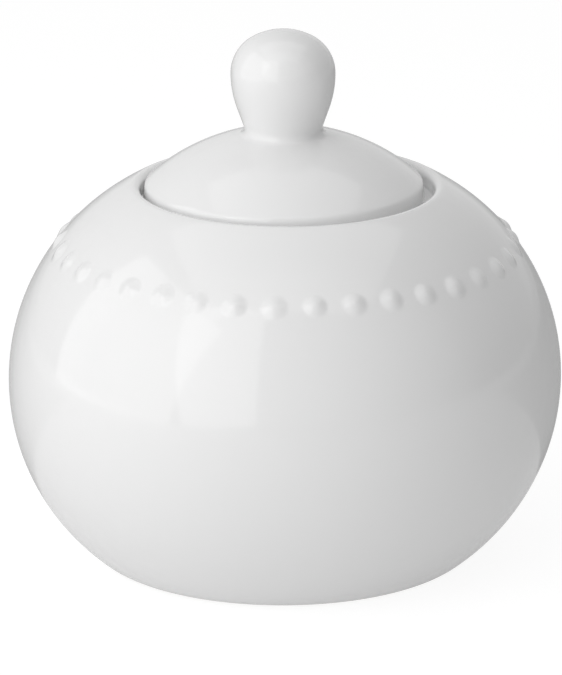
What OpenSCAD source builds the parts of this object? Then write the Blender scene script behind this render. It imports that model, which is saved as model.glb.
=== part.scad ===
// Round lidded sugar bowl: a squat glazed pot with a bead band, and a loose recessed lid.
// Millimetres. Origin at the centre of the foot, on the table; +Z is the pot's axis.

/* [Bowl] */
// Greatest outside diameter of the bowl
bowl_d = 110; // [106:0.5:114]
// Radius of the side's round profile below its widest place
side_r = 44.4; // [43:0.1:46]
// Radius of the side's round profile above its widest place
upper_r = 43.8; // [43:0.1:44.5]
// Height of the widest place above the table
belly_z = 35.8; // [34:0.1:37.5]
// Thickness of the side wall
wall = 4; // [3:0.1:5]
// Thickness of the floor
floor_t = 4.2; // [3:0.1:6]
// Radius of the round corner inside, between the floor and the side
floor_corner_r = 9; // [6:0.5:12]
// Diameter of the mouth inside its rolled lip
mouth_d = 58; // [57.2:0.1:60]
// Radius of the rolled lip
lip_r = 1.6; // [1.2:0.1:1.9]

/* [Foot] */
// Radius of the round edge between the side and the foot
base_edge_r = 6; // [4:0.5:8]
// Width of the ring that touches the table
foot_w = 4; // [3:0.1:5]
// Height of the bare, unglazed foot ring
foot_h = 1.2; // [0.8:0.1:1.6]
// Height of the hollow under the base at its centre
base_hollow = 2.4; // [2:0.1:3]

/* [Seat] */
// Depth of the lid's seat below the top of the lip
seat_depth = 3; // [2.8:0.1:3.6]
// Diameter of the throat inside the seat's ledge
throat_d = 46.6; // [45:0.1:48]
// Thickness of the ledge at the throat
ledge_t = 3; // [2.5:0.1:3.5]
// Slope of the ledge's underside, down towards the wall, in degrees
ledge_slope = 16; // [10:1:24]

/* [Beads] */
// Number of beads round the shoulder
bead_count = 37; // [24:1:48]
// Diameter of one bead where it meets the side
bead_d = 4.4; // [3.6:0.1:5]
// How far a bead stands out of the side
bead_rise = 0.6; // [0.4:0.05:1]
// How far a bead is bedded into the side
bead_bed = 0.3; // [0.15:0.05:0.5]
// Height of the bead band above the table
bead_z = 63.6; // [61:0.1:65]
// Turn of the first bead from the front, anticlockwise
bead_turn = 6.8; // [0:0.1:10]

/* [Lid] */
// Diameter of the lid
lid_d = 55; // [54:0.1:56]
// Outside radius of the lid's dome
dome_r = 41; // [40:0.1:43]
// Radius of the lid's rolled edge
lid_edge_r = 1; // [0.8:0.1:1.4]
// Height of the rolled edge's centre above the seat
lid_edge_h = 3.2; // [2.9:0.1:3.6]
// Thickness of the dome
lid_wall = 4; // [3:0.1:5]
// Gap all round between the lid's collar and the throat
collar_play = 0.8; // [0.5:0.1:1.2]
// Length of the collar below the seat
collar_h = 6; // [4:0.5:8]
// Thickness of the collar
collar_t = 3.2; // [2.6:0.1:3.6]
// Slope of the lid's side below its rolled edge, in degrees
lid_side_slope = 10; // [6:1:16]

/* [Knob] */
// Greatest diameter of the knob
knob_d = 20.6; // [19:0.1:22]
// Height of the knob's widest place above the dome's top
knob_rise = 11.7; // [10.7:0.1:12.7]
// Radius of the knob's upper shoulder
knob_shoulder_r = 8; // [7:0.1:8.5]
// Radius of the knob's round top
knob_top_r = 12.8; // [12:0.1:14]
// Radius of the knob's lower side
knob_side_r = 20.7; // [18:0.1:24]
// Taper of the knob's neck, in degrees
knob_taper = 19.6; // [16:0.2:21]
// Radius of the clay fillet round the knob's neck
knob_fillet_r = 1.5; // [1:0.1:2]
// Radius of the drain hole up into the knob
drain_r = 3.5; // [3:0.1:4]
// Radius of the hollow in the knob
knob_hollow_r = 5; // [4.5:0.1:5.4]

/* [Hidden] */
$fn = 180;

glaze_white = "whitesmoke";
bare_clay = "linen";

// Centres of the side's profile, below and above its widest place
side_c = [bowl_d / 2 - side_r, belly_z];
upper_c = [bowl_d / 2 - upper_r, belly_z];
// A length that reaches past everything, and how far a cut runs past a face
far = 200;
past = 1;

// Centre of a small circle that stands on a level and touches a larger circle from inside
function nested_c(big_c, big_r, small_r, level) =
    [
        big_c[0] + sqrt(pow(big_r - small_r, 2) - pow(big_c[1] - level - small_r, 2)),
        level + small_r
    ];
// Direction from one point to another, in degrees
function heading(from, to) = atan2(to[1] - from[1], to[0] - from[0]);
// Unit vector in a direction
function unit(angle) = [cos(angle), sin(angle)];
// Points along an arc, and the same without the first point, to carry on from another arc
function arc(c, r, start, end, steps) =
    [for (i = [0:steps]) c + r * unit(start + (end - start) * i / steps)];
function arc_on(c, r, start, end, steps) =
    [for (i = [1:steps]) c + r * unit(start + (end - start) * i / steps)];

// Lip and base of the bowl
mouth_r = mouth_d / 2;
lip_x = mouth_r + lip_r;
lip_c = [lip_x, belly_z + sqrt(pow(upper_r - lip_r, 2) - pow(lip_x - upper_c[0], 2))];
lip_top = lip_c[1] + lip_r;
lip_angle = heading(upper_c, lip_c);
base_c = nested_c(side_c, side_r, base_edge_r, 0);
base_angle = heading(side_c, base_c);

// Inside of the bowl
floor_z = base_hollow + floor_t;
inner_r = side_r - wall;
floor_c = nested_c(side_c, inner_r, floor_corner_r, floor_z);
floor_angle = heading(side_c, floor_c);
inside_end = 80;
foot_in_r = base_c[0] - foot_w;
// Width of the slope inside the foot, and its height below the hollow's centre
foot_hollow_edge = 4;
foot_hollow_drop = 0.4;

// Seat, throat and ledge
seat_z = lip_top - seat_depth;
throat_r = throat_d / 2;
ledge_z = seat_z - ledge_t;
throat_edge_r = 0.8;

// Lid
lid_r = lid_d / 2;
lid_edge_c = [lid_r - lid_edge_r, seat_z + lid_edge_h];
dome_c = [0, lid_edge_c[1] - sqrt(pow(dome_r - lid_edge_r, 2) - pow(lid_edge_c[0], 2))];
dome_top = dome_c[1] + dome_r;
dome_angle = heading(dome_c, lid_edge_c);
collar_r = throat_r - collar_play;
collar_in_r = collar_r - collar_t;

// Knob: a shoulder arc above the widest place, a side arc below it, and a tapered neck
knob_z = dome_top + knob_rise;
knob_r = knob_d / 2;
shoulder_c = [knob_r - knob_shoulder_r, knob_z];
shoulder_end = acos((knob_r - knob_shoulder_r) / (knob_top_r - knob_shoulder_r));
top_c = shoulder_c - (knob_top_r - knob_shoulder_r) * unit(shoulder_end);
neck_side_c = [knob_r - knob_side_r, knob_z];
neck_normal = unit(-knob_taper);
neck_along = unit(90 - knob_taper);
// Centre of the fillet, a circle that touches the neck and dips just under the dome
fillet_dip = 0.03;
// How far below the dome's top the knob's root starts, before the dome is cut from it
knob_root = 3;
fillet_out = neck_normal * (neck_side_c - dome_c) + knob_side_r + knob_fillet_r;
fillet_up = sqrt(pow(dome_r + knob_fillet_r - fillet_dip, 2) - pow(fillet_out, 2));
fillet_c = dome_c + fillet_out * neck_normal + fillet_up * neck_along;
fillet_end = heading(fillet_c, dome_c) + 360;

// Outlines of the bowl's side, from its foot's round edge up to the lip, and of the lid's dome
dome_steps = 20;
side_line = concat(
    arc_on(side_c, side_r, base_angle, 0, 16),
    arc_on(upper_c, upper_r, 0, lip_angle, 20)
);
dome_line = arc(dome_c, dome_r, dome_angle, 90, dome_steps);

// Half section of the bowl as if it were solid up to its lip
module bowl_outside()
{
    polygon(concat(
        [[0, 0]],
        arc(base_c, base_edge_r, -90, base_angle, 8),
        side_line,
        arc_on(lip_c, lip_r, lip_angle, 180, 10),
        [[0, lip_c[1]]]
    ));
}

// Half section of the space inside the bowl, up to the underside of the seat's ledge
module bowl_inside()
{
    intersection()
    {
        polygon(concat(
            [[0, floor_z]],
            arc(floor_c, floor_corner_r, -90, floor_angle, 8),
            arc_on(side_c, inner_r, floor_angle, 0, 12),
            arc_on(upper_c, upper_r - wall, 0, inside_end, 20),
            [[0, far]]
        ));
        polygon([
            [0, 0],
            [far, 0],
            [far, ledge_z - (far - throat_r) * tan(ledge_slope)],
            [throat_r, ledge_z],
            [0, ledge_z]
        ]);
    }
}

// Half section of the throat and the lid's seat, with a softened throat edge
module mouth_inside()
{
    edge_c = [throat_r + throat_edge_r, seat_z - throat_edge_r];
    polygon(concat(
        [[0, ledge_z - past], [throat_r, ledge_z - past]],
        arc(edge_c, throat_edge_r, 180, 90, 5),
        [[mouth_r, seat_z], [mouth_r, far], [0, far]]
    ));
}

// Half section of the hollow under the base
module base_hollow_section()
{
    polygon([
        [0, -past],
        [foot_in_r + past, -past],
        [foot_in_r - foot_h, foot_h],
        [foot_in_r - foot_hollow_edge, base_hollow - foot_hollow_drop],
        [0, base_hollow]
    ]);
}

module bowl_shell()
{
    color(glaze_white)
        rotate_extrude()
            difference()
            {
                bowl_outside();
                bowl_inside();
                mouth_inside();
                base_hollow_section();
                translate([0, -past])
                    square([bowl_d, foot_h + past]);
            }
}

module foot_ring()
{
    color(bare_clay)
        rotate_extrude()
            intersection()
            {
                difference()
                {
                    bowl_outside();
                    base_hollow_section();
                }
                square([bowl_d, foot_h]);
            }
}

// One bead: the cap of a ball, bedded a little way into the bowl's side
module bead()
{
    half_d = bead_d / 2;
    ball_r = (pow(half_d, 2) + pow(bead_rise, 2)) / (2 * bead_rise);
    rim_angle = asin((ball_r - bead_rise - bead_bed) / ball_r);
    slope = asin((bead_z - belly_z) / upper_r);
    translate([upper_c[0], 0, upper_c[1]])
        rotate([0, 90 - slope, 0])
            translate([0, 0, upper_r])
                rotate_extrude($fn = 48)
                    polygon(concat(
                        [[0, -bead_bed]],
                        arc([0, bead_rise - ball_r], ball_r, rim_angle, 90, 6)
                    ));
}

module bead_row()
{
    color(glaze_white)
        for (i = [0:bead_count - 1])
            rotate([0, 0, -90 + bead_turn + i * 360 / bead_count])
                bead();
}

module lid_dome()
{
    side_top = lid_edge_c + lid_edge_r * unit(-lid_side_slope);
    flange_r = side_top[0] - (side_top[1] - seat_z) * tan(lid_side_slope);
    inside_r = dome_r - lid_wall;
    inside_angle = acos(collar_in_r / inside_r);
    color(glaze_white)
        rotate_extrude()
            difference()
            {
                polygon(concat(
                    [[collar_in_r, seat_z], [flange_r, seat_z]],
                    arc(lid_edge_c, lid_edge_r, -lid_side_slope, dome_angle, 8),
                    arc_on(dome_c, dome_r, dome_angle, 90, dome_steps),
                    arc(dome_c, inside_r, 90, inside_angle, 12)
                ));
                square([drain_r, far]);
            }
}

module lid_collar()
{
    color(glaze_white)
        rotate_extrude()
            union()
            {
                translate([collar_in_r, seat_z - collar_h + collar_t / 2])
                    square([collar_t, collar_h - collar_t / 2]);
                translate([collar_in_r + collar_t / 2, seat_z - collar_h + collar_t / 2])
                    circle(r = collar_t / 2);
            }
}

module lid_knob()
{
    color(glaze_white)
        rotate_extrude()
            difference()
            {
                polygon(concat(
                    [[drain_r, knob_z], [drain_r, dome_top - knob_root]],
                    arc(fillet_c, knob_fillet_r, fillet_end, 180 - knob_taper, 8),
                    arc(neck_side_c, knob_side_r, -knob_taper, 0, 12),
                    arc_on(shoulder_c, knob_shoulder_r, 0, shoulder_end, 15),
                    arc_on(top_c, knob_top_r, shoulder_end, 90, 10),
                    [[0, knob_z]]
                ));
                polygon(concat([[0, dome_line[0][1]]], dome_line));
                translate([0, knob_z])
                    circle(r = knob_hollow_r);
            }
}

bowl_shell();
foot_ring();
bead_row();
lid_dome();
lid_collar();
lid_knob();
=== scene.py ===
import math
import random

import bmesh
import bpy
import numpy as np
from mathutils import Matrix, Vector


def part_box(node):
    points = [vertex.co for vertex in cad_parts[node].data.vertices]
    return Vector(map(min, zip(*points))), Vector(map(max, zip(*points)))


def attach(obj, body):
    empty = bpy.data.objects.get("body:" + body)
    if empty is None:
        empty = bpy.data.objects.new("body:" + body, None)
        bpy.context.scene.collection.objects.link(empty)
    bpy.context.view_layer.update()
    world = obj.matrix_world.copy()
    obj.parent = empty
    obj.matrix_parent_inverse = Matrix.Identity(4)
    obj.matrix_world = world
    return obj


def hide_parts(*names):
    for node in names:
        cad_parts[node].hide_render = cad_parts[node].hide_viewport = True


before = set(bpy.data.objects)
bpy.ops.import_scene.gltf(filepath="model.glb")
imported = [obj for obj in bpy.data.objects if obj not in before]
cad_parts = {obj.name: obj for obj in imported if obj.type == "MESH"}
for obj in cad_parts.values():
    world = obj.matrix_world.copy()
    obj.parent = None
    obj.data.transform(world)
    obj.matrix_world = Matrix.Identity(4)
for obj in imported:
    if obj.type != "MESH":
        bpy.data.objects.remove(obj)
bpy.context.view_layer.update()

MM = 0.001

# ---------------------------------------------------------------- sizes from the frame
_, shell_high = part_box("bowl_shell")
foot_low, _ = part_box("foot_ring")
dome_low, dome_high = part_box("lid_dome")
collar_low, collar_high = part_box("lid_collar")
_, knob_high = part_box("lid_knob")

BOWL_R = max(shell_high.x, shell_high.y)
TABLE_Z = foot_low.z
SEAT_Z = dome_low.z
LID_R = max(dome_high.x, dome_high.y)
COLLAR_R = max(collar_high.x, collar_high.y)
COLLAR_LOW = collar_low.z
KNOB_R = max(knob_high.x, knob_high.y)

# ---------------------------------------------------------------- sizes of the round stretches
# UPPER_R, LIP_R, LID_SIDE_SLOPE and KNOB_RISE differ from part.scad's, and here the pot leans
# and the lid sits askew, to follow the pot's outline more closely
SIDE_R = 44.4 * MM
UPPER_R = 44.1 * MM
BELLY_Z = 35.8 * MM
WALL = 4 * MM
LIP_R = 1.3 * MM
MOUTH_R = 29 * MM
BASE_EDGE_R = 6 * MM
FOOT_W = 4 * MM
FOOT_SLOPE_W = 4 * MM
BASE_HOLLOW = 2.4 * MM
BASE_HOLLOW_EDGE = 2 * MM
FLOOR_T = 4.2 * MM
FLOOR_CORNER_R = 9 * MM
THROAT_R = 23.3 * MM
THROAT_EDGE_R = 0.8 * MM
LEDGE_T = 3 * MM
LEDGE_SLOPE = 16
LEDGE_FILLET_R = 3 * MM
# The glaze stops low on the foot's round edge, at this angle below the level
GLAZE_STOP = 68
GLAZE_PROUD = 0.2 * MM
# How far the clay ring reaches up behind the glaze
CLAY_OVERLAP = 0.3 * MM

# How far the pot leans to the right for each unit of height above its widest place
POT_LEAN = 0.0115
# Wobble of the pot's and the lid's side, which are out of round by up to 1.5 times this
POT_WARP = 0.03 * MM
LID_WARP = 0.02 * MM

BEAD_COUNT = 37
BEAD_R = 2.2 * MM
BEAD_RISE = 0.6 * MM
BEAD_Z = 63.6 * MM
BEAD_TURN = 6.8
# How much wider a bead's glazed foot is than the bead
BEAD_SKIRT = 1.25
# Each bead's share of the full rise and radius, and how far in mm it may be out of place
BEAD_RISES = (0.86, 1.12)
BEAD_RADII = (0.95, 1.05)
BEAD_STRAY = 0.1
BEAD_SEED = 37

DOME_R = 41 * MM
DOME_WALL = 4 * MM
LID_EDGE_R = 1 * MM
LID_EDGE_H = 3.2 * MM
LID_SIDE_SLOPE = -6
# How the loose lid sits in its seat: tipped by an angle in degrees, moved aside and lifted
LID_TIP = 0.4
LID_ASIDE = 0.2 * MM
LID_LIFT = 0.2 * MM
COLLAR_T = 3.2 * MM
COLLAR_FILLET_R = 2 * MM
KNOB_RISE = 11.5 * MM
KNOB_SHOULDER_R = 8 * MM
KNOB_TOP_R = 12.8 * MM
KNOB_SIDE_R = 20.7 * MM
KNOB_TAPER = 19.6
KNOB_FILLET_R = 1.5 * MM
DRAIN_R = 3.5 * MM
KNOB_HOLLOW_R = 5 * MM

# How far glaze and wiped clay round an edge, and how finely an outline is followed
GLAZE_SOFT = 0.28 * MM
CLAY_SOFT = 0.12 * MM
FINE = 0.1 * MM

# Widest step between rows, and the degrees that an outline may turn in one step
BOWL_STEP, BOWL_BEND = 1.6 * MM, 5.0
FOOT_STEP, FOOT_BEND = 0.8 * MM, 14
LID_STEP, LID_BEND = 0.9 * MM, 4.5
# How far the finest rows go on past the beads, where the outline climbs by this share or more
BEAD_MARGIN = 0.5 * MM
BEAD_CLIMB = 0.2

# Vertices round the pot: by the poles, on plain stretches, and where the beads are
BOWL_COLUMNS = (BEAD_COUNT * 3, BEAD_COUNT * 9, BEAD_COUNT * 27)
LID_COLUMNS = (81, 243)
# Inside these radii the rows have the fewest vertices
POLE_R = 8 * MM
LID_POLE_R = 3 * MM


# ---------------------------------------------------------------- outlines in (radius, height)
def point(r, z):
    return np.array([r, z])


def unit(angle):
    return np.array([math.cos(math.radians(angle)), math.sin(math.radians(angle))])


def heading(start, end):
    return math.degrees(math.atan2(end[1] - start[1], end[0] - start[0]))


def arc(centre, radius, start, end):
    """Points along an arc between two angles in degrees."""
    count = max(2, math.ceil(abs(math.radians(end - start)) * radius / FINE))
    return [centre + radius * unit(start + (end - start) * i / count) for i in range(count + 1)]


def nested(big_c, big_r, small_r, level):
    """Centre of a circle that stands on a level and touches a larger circle from inside."""
    rise = big_c[1] - level - small_r
    return point(big_c[0] + math.sqrt((big_r - small_r) ** 2 - rise**2), level + small_r)


def followed(points, closed=False):
    """The same outline as points a FINE step apart."""
    p = np.array(points + points[:1] if closed else points)
    run = np.concatenate([[0], np.cumsum(np.linalg.norm(np.diff(p, axis=0), axis=1))])
    even = np.linspace(0, run[-1], math.ceil(run[-1] / FINE) + 1)
    return np.column_stack([np.interp(even, run, p[:, 0]), np.interp(even, run, p[:, 1])])


def softened(p, spread, closed=False):
    """Rounds the edges of an even outline. An open one starts and ends on the axis."""
    reach = math.ceil(3 * spread / FINE)
    if closed:
        padded = np.vstack([p[-1 - reach : -1], p, p[1 : reach + 1]])
    else:
        mirror = np.array([-1, 1])
        padded = np.vstack([p[reach:0:-1] * mirror, p, p[-2 : -2 - reach : -1] * mirror])
    bell = np.exp(-0.5 * (np.arange(-reach, reach + 1) * FINE / spread) ** 2)
    bell /= bell.sum()
    return np.column_stack([np.convolve(padded[:, k], bell, mode="valid") for k in (0, 1)])


def rows_along(p, widest, turn, narrowest=0.18 * MM, band=None, band_step=0.3 * MM):
    """Picks rows of an even outline: closer where it turns, and along the band of heights."""
    along = np.gradient(p, axis=0)
    angle = np.unwrap(np.arctan2(along[:, 1], along[:, 0]))
    bend = np.abs(np.gradient(angle)) / FINE
    bend = np.convolve(np.pad(bend, 4, mode="edge"), np.ones(9) / 9, mode="valid")
    step = np.clip(math.radians(turn) / np.maximum(bend, 1e-6), narrowest, widest)
    if band:
        inside = (p[:, 1] > band[0]) & (p[:, 1] < band[1]) & (p[:, 0] > THROAT_R + BEAD_R)
        inside &= np.gradient(p[:, 1]) > 0
        step = np.where(inside, band_step, step)
    share = np.concatenate([[0], np.cumsum(FINE / step[1:])])
    picks = np.linspace(0, share[-1], math.ceil(share[-1]) + 1)
    return np.column_stack([np.interp(picks, share, p[:, k]) for k in (0, 1)])


side_c = point(BOWL_R - SIDE_R, BELLY_Z)
upper_c = point(BOWL_R - UPPER_R, BELLY_Z)
base_c = nested(side_c, SIDE_R, BASE_EDGE_R, TABLE_Z)
foot_in_r = base_c[0] - FOOT_W
glaze_edge = base_c + BASE_EDGE_R * unit(-GLAZE_STOP)


def bowl_outline():
    """The glazed pot: under the base, up the side, over the lip, past the seat, down inside."""
    lip_x = MOUTH_R + LIP_R
    lip_rise = math.sqrt((UPPER_R - LIP_R) ** 2 - (lip_x - upper_c[0]) ** 2)
    lip_c = point(lip_x, BELLY_Z + lip_rise)
    inner_r, upper_inner_r = SIDE_R - WALL, UPPER_R - WALL
    floor_z = TABLE_Z + BASE_HOLLOW + FLOOR_T
    floor_c = nested(side_c, inner_r, FLOOR_CORNER_R, floor_z)
    throat_c = point(THROAT_R + THROAT_EDGE_R, SEAT_Z - THROAT_EDGE_R)
    ledge_z = SEAT_Z - LEDGE_T
    # The fillet under the ledge touches its sloping underside and the inner wall
    slope, down = unit(-LEDGE_SLOPE), unit(-90 - LEDGE_SLOPE)
    start = point(THROAT_R, ledge_z) + LEDGE_FILLET_R * down - upper_c
    room = upper_inner_r - LEDGE_FILLET_R
    reach = -start @ slope + math.sqrt((start @ slope) ** 2 - start @ start + room**2)
    ledge_c = upper_c + start + reach * slope
    return (
        [point(0, BASE_HOLLOW), point(foot_in_r - FOOT_SLOPE_W, BASE_HOLLOW_EDGE)]
        + [point(foot_in_r - glaze_edge[1], glaze_edge[1]), glaze_edge]
        + arc(base_c, BASE_EDGE_R, -GLAZE_STOP, heading(side_c, base_c))
        + arc(side_c, SIDE_R, heading(side_c, base_c), 0)
        + arc(upper_c, UPPER_R, 0, heading(upper_c, lip_c))
        + arc(lip_c, LIP_R, heading(upper_c, lip_c), 180)
        + [point(MOUTH_R, SEAT_Z)]
        + arc(throat_c, THROAT_EDGE_R, 90, 180)
        + [point(THROAT_R, ledge_z)]
        + arc(ledge_c, LEDGE_FILLET_R, 90 - LEDGE_SLOPE, heading(upper_c, ledge_c))
        + arc(upper_c, upper_inner_r, heading(upper_c, ledge_c), 0)
        + arc(side_c, inner_r, 0, heading(side_c, floor_c))
        + arc(floor_c, FLOOR_CORNER_R, heading(side_c, floor_c), -90)
        + [point(0, floor_z)]
    )


def foot_outline():
    """The bare clay ring, set back a little from the glaze and standing on the table."""
    top = glaze_edge[1] + CLAY_OVERLAP
    out_r = BASE_EDGE_R - GLAZE_PROUD
    stop = math.degrees(math.asin((BASE_EDGE_R - top) / BASE_EDGE_R))
    return (
        [point(foot_in_r + GLAZE_PROUD, TABLE_Z)]
        + arc(base_c - point(GLAZE_PROUD, GLAZE_PROUD), out_r, -90, -stop)
        + [point(foot_in_r - top + GLAZE_PROUD, top)]
    )


def lid_outline():
    """The glazed lid: from the knob's hollow down to the collar, over the dome, up the knob."""
    edge_c = point(LID_R - LID_EDGE_R, SEAT_Z + LID_EDGE_H)
    dome_c = point(0, edge_c[1] - math.sqrt((DOME_R - LID_EDGE_R) ** 2 - edge_c[0] ** 2))
    inside_r = DOME_R - DOME_WALL
    collar_in_r = COLLAR_R - COLLAR_T
    collar_c = point(COLLAR_R - COLLAR_T / 2, COLLAR_LOW + COLLAR_T / 2)
    # Where the dome's underside meets the collar, a fillet
    turn_r = inside_r - COLLAR_FILLET_R
    turn_x = collar_in_r - COLLAR_FILLET_R
    turn_c = point(turn_x, dome_c[1] + math.sqrt(turn_r**2 - turn_x**2))
    side_top = edge_c + LID_EDGE_R * unit(-LID_SIDE_SLOPE)
    flange_r = side_top[0] - (side_top[1] - SEAT_Z) * math.tan(math.radians(LID_SIDE_SLOPE))

    knob_z = dome_c[1] + DOME_R + KNOB_RISE
    shoulder_c = point(KNOB_R - KNOB_SHOULDER_R, knob_z)
    top_gap = KNOB_TOP_R - KNOB_SHOULDER_R
    shoulder_end = math.degrees(math.acos(shoulder_c[0] / top_gap))
    top_c = shoulder_c - top_gap * unit(shoulder_end)
    neck_c = point(KNOB_R - KNOB_SIDE_R, knob_z)
    out, along = unit(-KNOB_TAPER), unit(90 - KNOB_TAPER)
    fillet_out = out @ (neck_c - dome_c) + KNOB_SIDE_R + KNOB_FILLET_R
    fillet_up = math.sqrt((DOME_R + KNOB_FILLET_R) ** 2 - fillet_out**2)
    fillet_c = dome_c + fillet_out * out + fillet_up * along
    hollow_end = -math.degrees(math.acos(DRAIN_R / KNOB_HOLLOW_R))
    drain_angle = 90 - math.degrees(math.asin(DRAIN_R / inside_r))
    return (
        arc(point(0, knob_z), KNOB_HOLLOW_R, 90, hollow_end)
        + [point(DRAIN_R, dome_c[1] + math.sqrt(inside_r**2 - DRAIN_R**2))]
        + arc(dome_c, inside_r, drain_angle, heading(dome_c, turn_c))
        + arc(turn_c, COLLAR_FILLET_R, heading(dome_c, turn_c), 0)
        + arc(collar_c, COLLAR_T / 2, 180, 360)
        + [point(COLLAR_R, SEAT_Z), point(flange_r, SEAT_Z)]
        + arc(edge_c, LID_EDGE_R, -LID_SIDE_SLOPE, heading(dome_c, edge_c))
        + arc(dome_c, DOME_R, heading(dome_c, edge_c), heading(dome_c, fillet_c))
        + arc(fillet_c, KNOB_FILLET_R, heading(fillet_c, dome_c) + 360, 180 - KNOB_TAPER)
        + arc(neck_c, KNOB_SIDE_R, -KNOB_TAPER, 0)
        + arc(shoulder_c, KNOB_SHOULDER_R, 0, shoulder_end)
        + arc(top_c, KNOB_TOP_R, shoulder_end, 90)
    )


# ---------------------------------------------------------------- turned meshes
def turned(name, rows, columns, place=None, closed=False):
    """Turns rows of (radius, height) about Z, each with its own number of vertices round it.
    Neighbours have the same number, or one has three times the other's or is a single point.
    place moves a row's points."""
    vertices, faces, starts = [], [], []
    for i, ((r, z), count) in enumerate(zip(rows, columns)):
        starts.append(len(vertices))
        turn = np.arange(count) * 2 * math.pi / count
        ring = np.column_stack([r * np.cos(turn), r * np.sin(turn), np.full(count, z)])
        if place:
            ring = place(i, turn, ring)
        vertices.extend(map(tuple, ring))

    def join(a, b):
        na, nb = columns[a], columns[b]
        sa, sb = starts[a], starts[b]
        for k in range(min(na, nb) if min(na, nb) > 1 else max(na, nb)):
            if na == 1:
                faces.append((sa, sb + (k + 1) % nb, sb + k))
            elif nb == 1:
                faces.append((sa + k, sa + (k + 1) % na, sb))
            elif na == nb:
                n = (k + 1) % na
                faces.append((sa + k, sa + n, sb + n, sb + k))
            elif nb > na:
                n = (k + 1) % na
                f = [sb + (3 * k + j) % nb for j in range(4)]
                faces.append((sa + k, f[1], f[0]))
                faces.append((sa + k, sa + n, f[2], f[1]))
                faces.append((sa + n, f[3], f[2]))
            else:
                n = (k + 1) % nb
                f = [sa + (3 * k + j) % na for j in range(4)]
                faces.append((sb + k, f[0], f[1]))
                faces.append((sb + k, f[1], f[2], sb + n))
                faces.append((sb + n, f[2], f[3]))

    for i in range(len(rows) - 1):
        join(i, i + 1)
    if closed:
        join(len(rows) - 1, 0)
    mesh = bpy.data.meshes.new(name)
    mesh.from_pydata(vertices, [], faces)
    mesh.validate()
    shape = bmesh.new()
    shape.from_mesh(mesh)
    bmesh.ops.recalc_face_normals(shape, faces=shape.faces)
    shape.to_mesh(mesh)
    shape.free()
    mesh.polygons.foreach_set("use_smooth", [True] * len(mesh.polygons))
    piece = bpy.data.objects.new(name, mesh)
    bpy.context.scene.collection.objects.link(piece)
    return piece


def warp(turn, z, wobble):
    """A pot is never quite round: how far its side wanders out at a turn and a height."""
    return wobble * (np.sin(2 * turn + 0.7) + 0.5 * np.sin(3 * turn + 2.1 + 40 * z))


def leaning(ring):
    """A ring of the pot's points, pushed aside a little by its height."""
    ring[:, 0] += POT_LEAN * (ring[:, 2] - BELLY_Z)
    return ring


def askew(ring):
    """A ring of the lid's points, tipped to the left as the loose lid sits in its seat."""
    tip = math.radians(LID_TIP)
    x, z = ring[:, 0].copy(), ring[:, 2] - SEAT_Z
    ring[:, 0] = x * math.cos(tip) - z * math.sin(tip) - LID_ASIDE
    ring[:, 2] = SEAT_Z + z * math.cos(tip) + x * math.sin(tip) + LID_LIFT
    return ring


def make_bowl():
    outline = softened(followed(bowl_outline()), GLAZE_SOFT)
    bead_angle = math.asin((BEAD_Z - BELLY_Z) / UPPER_R)
    half = (BEAD_R * BEAD_SKIRT + BEAD_MARGIN) * math.cos(bead_angle)
    band = (BEAD_Z - half, BEAD_Z + half)
    rows = rows_along(outline, BOWL_STEP, BOWL_BEND, band=band)
    rows[0][0] = rows[-1][0] = 0
    along = np.gradient(rows, axis=0)
    along /= np.linalg.norm(along, axis=1)[:, None]
    rising = along[:, 1] > BEAD_CLIMB
    beaded = rising & (rows[:, 1] > band[0]) & (rows[:, 1] < band[1])
    beaded &= rows[:, 0] > MOUTH_R + 2 * LIP_R
    pole, plain, fine = BOWL_COLUMNS
    columns = [fine if b else plain if r > POLE_R else pole for (r, z), b in zip(rows, beaded)]
    columns[0] = columns[-1] = 1

    draws = random.Random(BEAD_SEED)
    beads = []
    for i in range(BEAD_COUNT):
        turn = math.radians(-90 + BEAD_TURN + i * 360 / BEAD_COUNT)
        rise = BEAD_RISE * draws.uniform(*BEAD_RISES)
        radius = BEAD_R * draws.uniform(*BEAD_RADII)
        aside = draws.uniform(-BEAD_STRAY, BEAD_STRAY) * MM
        above = draws.uniform(-BEAD_STRAY, BEAD_STRAY) * MM
        beads.append((turn, rise, radius, aside, above))

    def place(i, turn, ring):
        r, z = rows[i]
        normal = point(along[i][1], -along[i][0])
        out = warp(turn, z, POT_WARP) * abs(normal[0])
        if beaded[i]:
            up = UPPER_R * (math.atan2(z - upper_c[1], r - upper_c[0]) - bead_angle)
            for centre, rise, radius, aside, above in beads:
                across = (np.mod(turn - centre + math.pi, 2 * math.pi) - math.pi) * r
                far = ((across - aside) ** 2 + (up - above) ** 2) / (radius * BEAD_SKIRT) ** 2
                out = out + rise * np.clip(1 - far, 0, None) ** 2
        ring[:, 0] += out * normal[0] * np.cos(turn)
        ring[:, 1] += out * normal[0] * np.sin(turn)
        ring[:, 2] += out * normal[1]
        return leaning(ring)

    return turned("bowl_glazed", rows, columns, place)


def make_foot():
    outline = softened(followed(foot_outline(), closed=True), CLAY_SOFT, closed=True)
    rows = rows_along(outline, FOOT_STEP, FOOT_BEND)[:-1]
    columns = [BOWL_COLUMNS[1]] * len(rows)

    def place(i, turn, ring):
        return leaning(ring)

    return turned("foot_bare_ring", rows, columns, place, closed=True)


def make_lid():
    outline = softened(followed(lid_outline()), GLAZE_SOFT)
    rows = rows_along(outline, LID_STEP, LID_BEND)
    rows[0][0] = rows[-1][0] = 0
    pole, plain = LID_COLUMNS
    columns = [plain if r > LID_POLE_R else pole for r, z in rows]
    columns[0] = columns[-1] = 1

    def place(i, turn, ring):
        r, z = rows[i]
        out = warp(turn + 1.3, z, LID_WARP) * min(1, r / LID_R)
        ring[:, 0] += out * np.cos(turn)
        ring[:, 1] += out * np.sin(turn)
        return askew(ring)

    return turned("lid_glazed", rows, columns, place)


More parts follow.
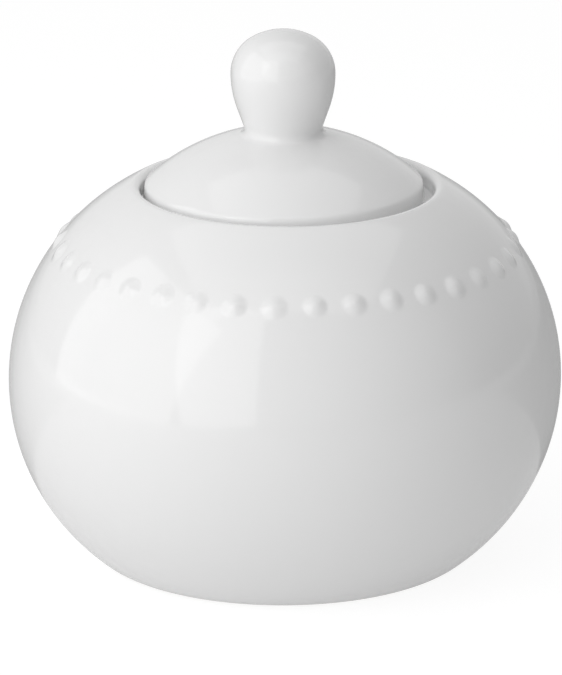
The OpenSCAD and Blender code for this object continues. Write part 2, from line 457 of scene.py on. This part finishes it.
# ---------------------------------------------------------------- materials
GLAZE_TONE = 0.86
GLAZE_CLOUD = 0.003
GLAZE_ROUGHNESS = (0.22, 0.26)
# The white body under the glaze barely shines, and the glaze is a coat over it
GLAZE_SURFACE = {
    "Specular IOR Level": 0.1,
    "Coat Weight": 0.9,
    "Coat IOR": 1.5,
    "Coat Roughness": 0.08,
}
# One speck in a share of cells of this size, its radius and its tone
SPECK_CELL = 9 * MM
SPECK_R = 0.16 * MM
SPECK_SHARE = 0.05
SPECK_TONE = 0.35
# Noise scales, per metre, of the glaze's cloudiness and sheen
CLOUD_SCALE = 28
SHEEN_SCALE = 140
# Noise scale and depth of the glaze's broad and fine ripples, and of the clay's grain
PEEL_BROAD_SCALE, PEEL_BROAD = 170, 0.005 * MM
PEEL_FINE_SCALE, PEEL_FINE = 900, 0.0005 * MM
CLAY_GRAIN_SCALE, CLAY_GRAIN = 2600, 0.06 * MM
CLAY_ROUGHNESS = (0.78, 0.95)
# Noise scale of the soil on the clay, and how strong it is at most
SOIL_SCALE, SOIL_MOST = 120, 0.35
CLAY_DARK = (0.66, 0.63, 0.58, 1)
CLAY_LIGHT = (0.76, 0.73, 0.68, 1)
CLAY_SOIL = (0.5, 0.46, 0.41, 1)


class Shader:
    """A material's nodes, with short names for making and joining them."""

    def __init__(self, name):
        self.material = bpy.data.materials.new(name)
        self.material.use_nodes = True
        self.nodes = self.material.node_tree.nodes
        self.links = self.material.node_tree.links
        self.surface = self.nodes["Principled BSDF"]
        self.where = self.add("ShaderNodeTexCoord").outputs["Object"]

    def add(self, kind, settings=None, **inputs):
        node = self.nodes.new(kind)
        for key, value in (settings or {}).items():
            setattr(node, key, value)
        for key, value in inputs.items():
            socket = int(key[1:]) if key[1:].isdigit() else key.replace("_", " ")
            self.set(node.inputs[socket], value)
        return node

    def set(self, socket, value):
        if isinstance(value, bpy.types.NodeSocket):
            self.links.new(value, socket)
        else:
            socket.default_value = value

    def noise(self, scale, detail=2.0, roughness=0.5):
        settings = {"Scale": scale, "Detail": detail, "Roughness": roughness}
        return self.add("ShaderNodeTexNoise", Vector=self.where, **settings).outputs["Fac"]

    def math(self, operation, a, b):
        node = self.add("ShaderNodeMath", {"operation": operation}, i0=a, i1=b)
        return node.outputs[0]

    def ramp(self, value, low, high, to_low, to_high):
        node = self.add("ShaderNodeMapRange", {"interpolation_type": "SMOOTHSTEP"}, Value=value)
        ends = {"From Min": low, "From Max": high, "To Min": to_low, "To Max": to_high}
        for key, number in ends.items():
            node.inputs[key].default_value = number
        return node.outputs[0]

    def mix(self, factor, a, b):
        node = self.nodes.new("ShaderNodeMix")
        node.data_type = "RGBA"
        self.set(node.inputs[0], factor)
        self.set(node.inputs[6], a)
        self.set(node.inputs[7], b)
        return node.outputs[2]

    def bump(self, height, distance, normal=None):
        node = self.add("ShaderNodeBump", Height=height, Distance=distance)
        if normal:
            self.set(node.inputs["Normal"], normal)
        return node.outputs["Normal"]

    def specks(self, size, radius, kept):
        """Spots no wider than radius, one in a kept share of cells of a size."""
        cells = self.add("ShaderNodeTexVoronoi", Vector=self.where, Scale=1 / size)
        near = self.math("LESS_THAN", cells.outputs["Distance"], radius / size)
        draw = self.add("ShaderNodeSeparateColor", Color=cells.outputs["Color"]).outputs[0]
        chosen = self.math("LESS_THAN", draw, kept)
        return self.math("MULTIPLY", near, chosen)


def grey(value):
    return (value, value, value, 1)


def glaze(name):
    """Clear gloss glaze over a white body: faintly cloudy, with rare specks and a fine peel."""
    s = Shader(name)
    cloud = s.ramp(s.noise(CLOUD_SCALE, 3), 0.35, 0.65, 0, 1)
    body = s.mix(cloud, grey(GLAZE_TONE - GLAZE_CLOUD), grey(GLAZE_TONE))
    body = s.mix(s.specks(SPECK_CELL, SPECK_R, SPECK_SHARE), body, grey(SPECK_TONE))
    s.set(s.surface.inputs["Base Color"], body)
    sheen = s.ramp(s.noise(SHEEN_SCALE, 3), 0.3, 0.7, *GLAZE_ROUGHNESS)
    s.set(s.surface.inputs["Roughness"], sheen)
    peel = s.bump(s.noise(PEEL_BROAD_SCALE, 2), PEEL_BROAD)
    peel = s.bump(s.noise(PEEL_FINE_SCALE, 2), PEEL_FINE, peel)
    s.set(s.surface.inputs["Normal"], peel)
    s.set(s.surface.inputs["Coat Normal"], peel)
    for key, number in GLAZE_SURFACE.items():
        s.surface.inputs[key].default_value = number
    return s.material


def bare_clay():
    """Fired clay with no glaze on it: dull, finely grained and a little soiled where it rubs."""
    s = Shader("bare_clay")
    grain = s.noise(CLAY_GRAIN_SCALE, 6, 0.65)
    soil = s.ramp(s.noise(SOIL_SCALE, 4), 0.45, 0.7, 0, 1)
    body = s.mix(s.ramp(grain, 0.35, 0.65, 0, 1), CLAY_DARK, CLAY_LIGHT)
    body = s.mix(s.math("MULTIPLY", soil, SOIL_MOST), body, CLAY_SOIL)
    s.set(s.surface.inputs["Base Color"], body)
    s.set(s.surface.inputs["Roughness"], s.ramp(grain, 0.3, 0.7, *CLAY_ROUGHNESS))
    s.set(s.surface.inputs["Normal"], s.bump(grain, CLAY_GRAIN))
    return s.material


# ---------------------------------------------------------------- stage, lights and camera
# The floor that is seen, and the one just under it that lights the pot from below
FLOOR_REACH = 4.0
FLOOR_TONE = 0.22
FLOOR_GLOW = 0.86
BOUNCE_TONE = 0.5
BOUNCE_GLOW = 0.31
BOUNCE_DROP = 0.1 * MM
# Duller cards lying behind the pot on either side, which its rims mirror: name, corners, tone
CARD_GLOW = 0.19
CARD_DROP = 0.05 * MM
CARDS = (
    ("card_right", (0.06, 0.03), (0.6, 0.6), 0.32),
    ("card_left", (-0.4, 0.02), (-0.05, 0.6), 0.37),
)
# Lamps, which all face a point over the table: name, azimuth, elevation, distance, width,
# height, power and roll
LAMP_AIM = (0, 0, 0.05)
LAMPS = (
    ("softbox_left", -75, 20, 0.6, 0.74, 0.76, 1.8, -3),
    ("panel_front", -30.5, 26, 0.8, 0.48, 0.9, 1.6, 10),
    ("panel_top", 0, 88, 0.9, 1.1, 1.1, 2.5, 0),
)
# The camera: degrees down, distance, a point on the pot, how many mm lower in the picture it
# aims, and its lens and sensor
CAMERA_DOWN = 17.4
CAMERA_AWAY = 1.0
CAMERA_AIM = (-0.77 * MM, 0, 45 * MM)
CAMERA_DROP = 1.44
CAMERA_LENS = 268
CAMERA_SENSOR = 36
# Glow of the studio's front, back and ceiling
WORLD_SIDES = (
    ((0, -1, 0), 0.68),
    ((0, 1, 0), 0.77),
    ((0, 0, 1), 0.08),
)


def make_floor(name, z, tone, glow, low=(-FLOOR_REACH,) * 2, high=(FLOOR_REACH,) * 2):
    """A plain matt sheet that may glow a little by itself."""
    mesh = bpy.data.meshes.new(name)
    (x0, y0), (x1, y1) = low, high
    corners = [(x0, y0, z), (x1, y0, z), (x1, y1, z), (x0, y1, z)]
    mesh.from_pydata(corners, [], [(0, 1, 2, 3)])
    floor = bpy.data.objects.new(name, mesh)
    bpy.context.scene.collection.objects.link(floor)
    s = Shader(name)
    s.surface.inputs["Base Color"].default_value = grey(tone)
    s.surface.inputs["Roughness"].default_value = 1
    s.surface.inputs["Specular IOR Level"].default_value = 0
    s.surface.inputs["Emission Color"].default_value = grey(1)
    s.surface.inputs["Emission Strength"].default_value = glow
    mesh.materials.append(s.material)
    return floor


def make_floors():
    """The pale floor that is seen, and just under it the duller sheets that light the pot."""
    seen = make_floor("floor_seen", TABLE_Z, FLOOR_TONE, FLOOR_GLOW)
    seen.visible_diffuse = seen.visible_glossy = seen.visible_shadow = False
    seen.data.materials[0].cycles.emission_sampling = "NONE"
    bounce = make_floor("floor_bounce", TABLE_Z - BOUNCE_DROP, BOUNCE_TONE, BOUNCE_GLOW)
    bounce.visible_camera = False
    for name, low, high, tone in CARDS:
        card = make_floor(name, TABLE_Z - CARD_DROP, tone, CARD_GLOW, low, high)
        card.visible_camera = False


def panel(name, azimuth, elevation, distance, width, height, power, roll):
    """A softbox aimed at the pot. Azimuth 0 is in front, and positive is to the right."""
    a, e = math.radians(azimuth), math.radians(elevation)
    towards = Vector((math.cos(e) * math.sin(a), -math.cos(e) * math.cos(a), math.sin(e)))
    light = bpy.data.lights.new(name, "AREA")
    light.shape = "RECTANGLE"
    light.size, light.size_y = width, height
    light.energy = power
    lamp = bpy.data.objects.new(name, light)
    lamp.location = Vector(LAMP_AIM) + towards * distance
    facing = towards.to_track_quat("Z", "Y").to_matrix()
    facing = facing @ Matrix.Rotation(math.radians(roll), 3, "Z")
    lamp.rotation_euler = facing.to_euler()
    lamp.visible_camera = False
    bpy.context.scene.collection.objects.link(lamp)


def make_world():
    """A white studio: its front, back and ceiling each add a broad soft lobe of light."""
    world = bpy.data.worlds.new("studio")
    world.use_nodes = True
    nodes, links = world.node_tree.nodes, world.node_tree.links
    direction = nodes.new("ShaderNodeTexCoord").outputs["Generated"]
    total = None
    for side, glow in WORLD_SIDES:
        dot = nodes.new("ShaderNodeVectorMath")
        dot.operation = "DOT_PRODUCT"
        links.new(direction, dot.inputs[0])
        dot.inputs[1].default_value = side
        lobe = nodes.new("ShaderNodeMath")
        lobe.operation = "MAXIMUM"
        links.new(dot.outputs["Value"], lobe.inputs[0])
        lobe.inputs[1].default_value = 0
        added = nodes.new("ShaderNodeMath")
        added.operation = "MULTIPLY_ADD"
        links.new(lobe.outputs[0], added.inputs[0])
        added.inputs[1].default_value = glow
        added.inputs[2].default_value = 0
        if total:
            links.new(total, added.inputs[2])
        total = added.outputs[0]
    links.new(total, nodes["Background"].inputs["Strength"])
    nodes["Background"].inputs["Color"].default_value = grey(1)
    bpy.context.scene.world = world


def make_lights():
    for lamp in LAMPS:
        panel(*lamp)


def make_camera():
    """A long lens a metre away, looking down at the pot."""
    down = math.radians(CAMERA_DOWN)
    look = Vector((0, math.cos(down), -math.sin(down)))
    up = Vector((0, math.sin(down), math.cos(down)))
    aim = Vector(CAMERA_AIM) - up * CAMERA_DROP * MM
    data = bpy.data.cameras.new("camera")
    data.lens = CAMERA_LENS
    data.sensor_width = CAMERA_SENSOR
    camera = bpy.data.objects.new("camera", data)
    turn = Matrix.Rotation(math.pi / 2 - down, 4, "X")
    camera.matrix_world = Matrix.Translation(aim - look * CAMERA_AWAY) @ turn
    bpy.context.scene.collection.objects.link(camera)
    bpy.context.scene.camera = camera


# ---------------------------------------------------------------- the scene
make_camera()
make_floors()
make_world()
make_lights()
bpy.context.scene.view_settings.view_transform = "Standard"

bowl, foot, lid = make_bowl(), make_foot(), make_lid()
bowl.data.materials.append(glaze("bowl_glaze"))
lid.data.materials.append(glaze("lid_glaze"))
foot.data.materials.append(bare_clay())
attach(bowl, "bowl")
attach(foot, "bowl")
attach(lid, "lid")
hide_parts("bowl_shell", "bead_row")
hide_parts("foot_ring")
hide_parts("lid_dome", "lid_collar", "lid_knob")
